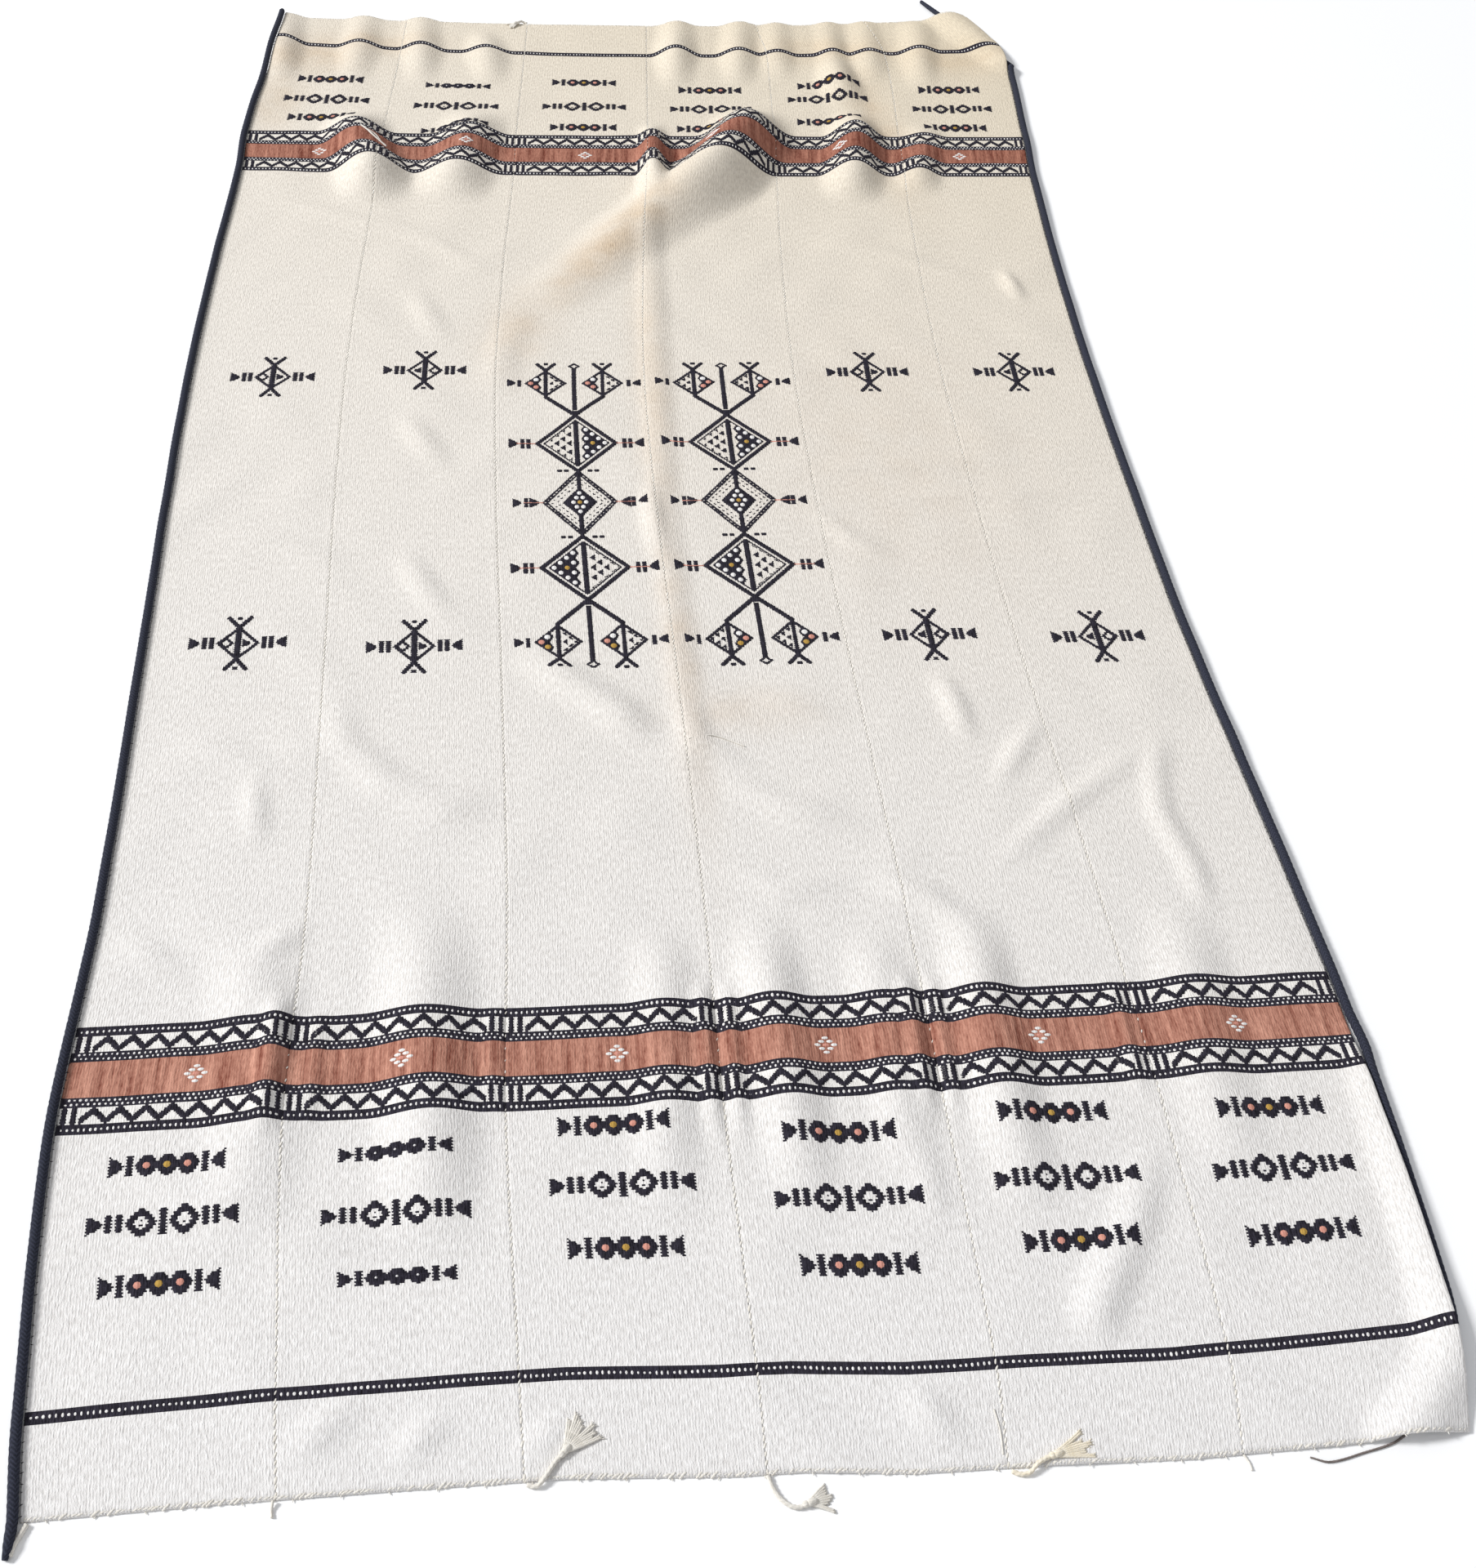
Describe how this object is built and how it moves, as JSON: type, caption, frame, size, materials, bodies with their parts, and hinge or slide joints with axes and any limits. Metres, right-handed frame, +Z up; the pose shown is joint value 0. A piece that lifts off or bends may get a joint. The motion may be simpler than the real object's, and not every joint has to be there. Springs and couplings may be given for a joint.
{
  "type": "strip-woven wool blanket",
  "caption": "Strip-woven cream wool blanket laid out flat, with dark tapestry bands, small diamond motifs, dark cords along the long sides and small yarn tassels at the ends.",
  "frame": {"origin": "middle of the blanket's outline, on the floor that it lies on", "axes": "+X across the strips, +Y along the strips towards the end with the turned-under corner, +Z up from the floor"},
  "size_m": [1.3178, 2.7032, 0.059],
  "materials": {
    "cream_wool": "matt hand-spun wool, woven, with dark, red and cream pattern yarns",
    "dark_cord": "matt dark indigo wool, twisted",
    "cream_yarn": "matt cream wool yarn"
  },
  "bodies": {
    "root": {"strip_1": "cream_wool", "strip_2": "cream_wool", "strip_3": "cream_wool", "strip_4": "cream_wool", "strip_5": "cream_wool", "strip_6": "cream_wool", "edge_cord_left": "dark_cord", "edge_cord_right": "dark_cord", "tassel_near_2": "cream_yarn", "tassel_near_3": "cream_yarn", "tassel_near_4": "cream_yarn", "tassel_far_2": "cream_yarn"}
  },
  "joints": []
}
